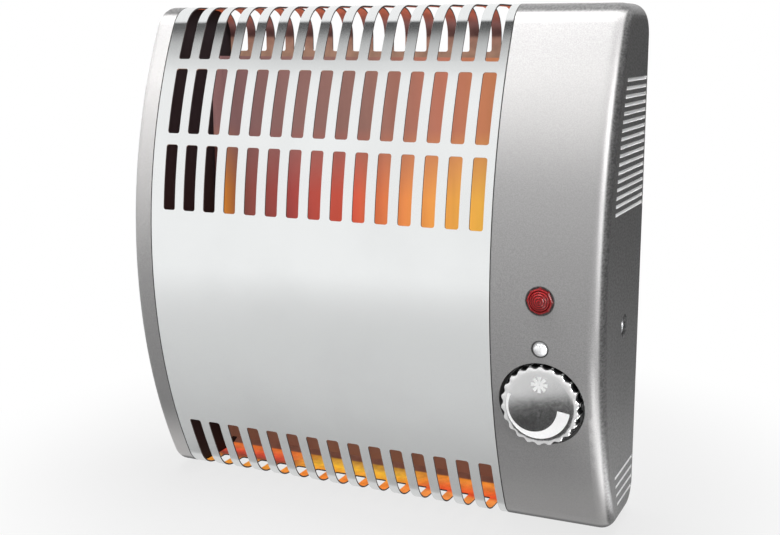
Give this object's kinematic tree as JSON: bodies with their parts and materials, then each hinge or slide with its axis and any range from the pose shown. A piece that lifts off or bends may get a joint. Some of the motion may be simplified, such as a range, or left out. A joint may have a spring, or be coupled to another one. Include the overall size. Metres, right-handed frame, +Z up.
{
  "type": "frost protection convector heater",
  "caption": "Wall-hung electric frost heater: bowed slotted steel grille between a narrow end cap and a control housing with a fluted thermostat dial, index stud and red pilot lamp.",
  "frame": {"origin": "middle of the back, on the wall plane", "axes": "+X to the right of someone facing the heater, +Y into the wall, +Z up"},
  "size_m": [0.315, 0.0997, 0.319],
  "materials": {
    "grille_sheet": "satin silver-grey stove enamel",
    "back_sheet": "galvanised",
    "silver_moulding": "silver metallic lacquer",
    "black_sheet": "matt black",
    "reflector_sheet": "heat-tinted aluminised sheet",
    "element_sheath": "oxidised",
    "fin_sheet": "plain sheet",
    "zinc_steel": "zinc plated",
    "white_ceramic": "unglazed",
    "turned_brass": "turned",
    "spring_strip": "rolled strip",
    "knob_black": "black, moulded",
    "knob_silver": "bright silver",
    "red_lens": "clear red, faceted",
    "bulb_glass": "clear",
    "stud_chrome": "polished",
    "black_nylon": "black, moulded",
    "white_nylon": "natural",
    "lead_insulation": "silicone rubber"
  },
  "bodies": {
    "casing": {"front_grille": "grille_sheet", "back_panel": "back_sheet", "panel_screws": "zinc_steel", "left_end_cap": "silver_moulding", "control_housing": "silver_moulding", "side_screws": "zinc_steel", "left_bulkhead": "black_sheet", "right_bulkhead": "black_sheet", "heat_reflector": "reflector_sheet", "reflector_rivets": "zinc_steel", "heating_element": "element_sheath", "element_fins": "fin_sheet", "element_support": "zinc_steel", "element_bushes": "white_ceramic", "element_terminals": "zinc_steel", "thermostat_bush": "turned_brass", "thermostat_nut": "turned_brass", "thermostat_bracket": "zinc_steel", "thermostat_base": "white_ceramic", "bimetal_strip": "spring_strip", "contact_leaf": "spring_strip", "lamp_lens": "red_lens", "lamp_clip": "zinc_steel", "lamp_holder": "black_nylon", "lamp_bulb": "bulb_glass", "index_stud": "stud_chrome", "cable_gland": "black_nylon", "gland_nut": "black_nylon", "terminal_block": "white_nylon", "terminal_screws": "turned_brass", "thermal_cutout": "black_nylon", "cutout_strap": "zinc_steel", "cutout_screws": "zinc_steel", "earth_screw": "turned_brass", "spade_tabs": "turned_brass", "internal_leads": "lead_insulation"},
    "dial": {"knob_body": "knob_black", "knob_face": "knob_silver", "thermostat_shaft": "turned_brass"}
  },
  "joints": [
    {"name": "dial_turn", "type": "hinge", "parent": "casing", "child": "dial", "pos_m": [0.1209, -0.09, -0.0705], "axis": [0, 1, 0], "range_deg": [0, 270]}
  ]
}
